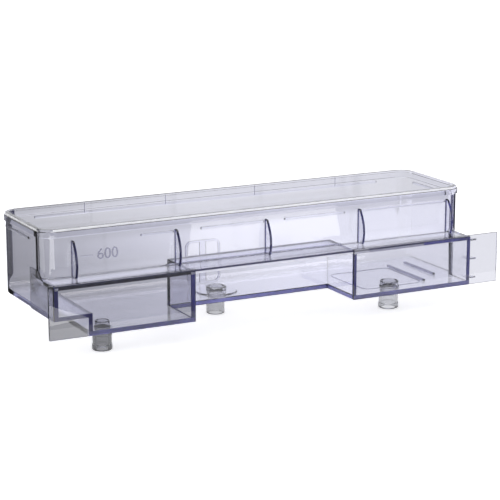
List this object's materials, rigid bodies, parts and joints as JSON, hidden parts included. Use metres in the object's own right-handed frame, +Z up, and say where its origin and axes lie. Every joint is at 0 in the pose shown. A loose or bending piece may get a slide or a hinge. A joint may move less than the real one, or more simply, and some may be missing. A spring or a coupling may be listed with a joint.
{
  "type": "fresh water tank",
  "caption": "Long open-top tank in clear plastic, stepped down at the front into boxes closed by flat plates, with a banded rim, fins and short outlet tubes below.",
  "frame": {"origin": "centre of the overall footprint, on the plane of the outlet tubes' lower ends", "axes": "+X along the tank to the right seen from the front, +Y to the back wall, +Z up through the open mouth"},
  "size_m": [0.2818, 0.0802, 0.0661],
  "materials": {
    "clear_body": "clear moulded polycarbonate, faint lavender tint, navy where an edge is seen end-on",
    "clear_plate": "clear flat sheet, neutral grey",
    "clear_tube": "clear grey tube with fine turned bands"
  },
  "bodies": {
    "root": {"lower_tray": "clear_body", "shoulder_shelf": "clear_body", "basin_wall": "clear_body", "rim_collar": "clear_body", "left_front_plate": "clear_plate", "right_front_plate": "clear_plate", "wing_gusset_1": "clear_body", "wing_gusset_2": "clear_body", "wing_gusset_3": "clear_body", "left_side_plate": "clear_plate", "left_outlet_tube": "clear_tube", "middle_outlet_tube": "clear_tube", "right_outlet_tube": "clear_tube", "front_rib_1": "clear_body", "front_rib_2": "clear_body", "front_rib_3": "clear_body", "front_rib_4": "clear_body", "front_rib_5": "clear_body", "front_snap_bead_1": "clear_body", "front_snap_bead_2": "clear_body", "front_snap_bead_3": "clear_body", "front_snap_bead_4": "clear_body", "left_snap_bead": "clear_body", "right_snap_bead": "clear_body", "rear_snap_bead": "clear_body", "level_mark": "clear_body", "floor_rib_1": "clear_body", "floor_rib_2": "clear_body", "float_guide": "clear_body"}
  },
  "joints": []
}
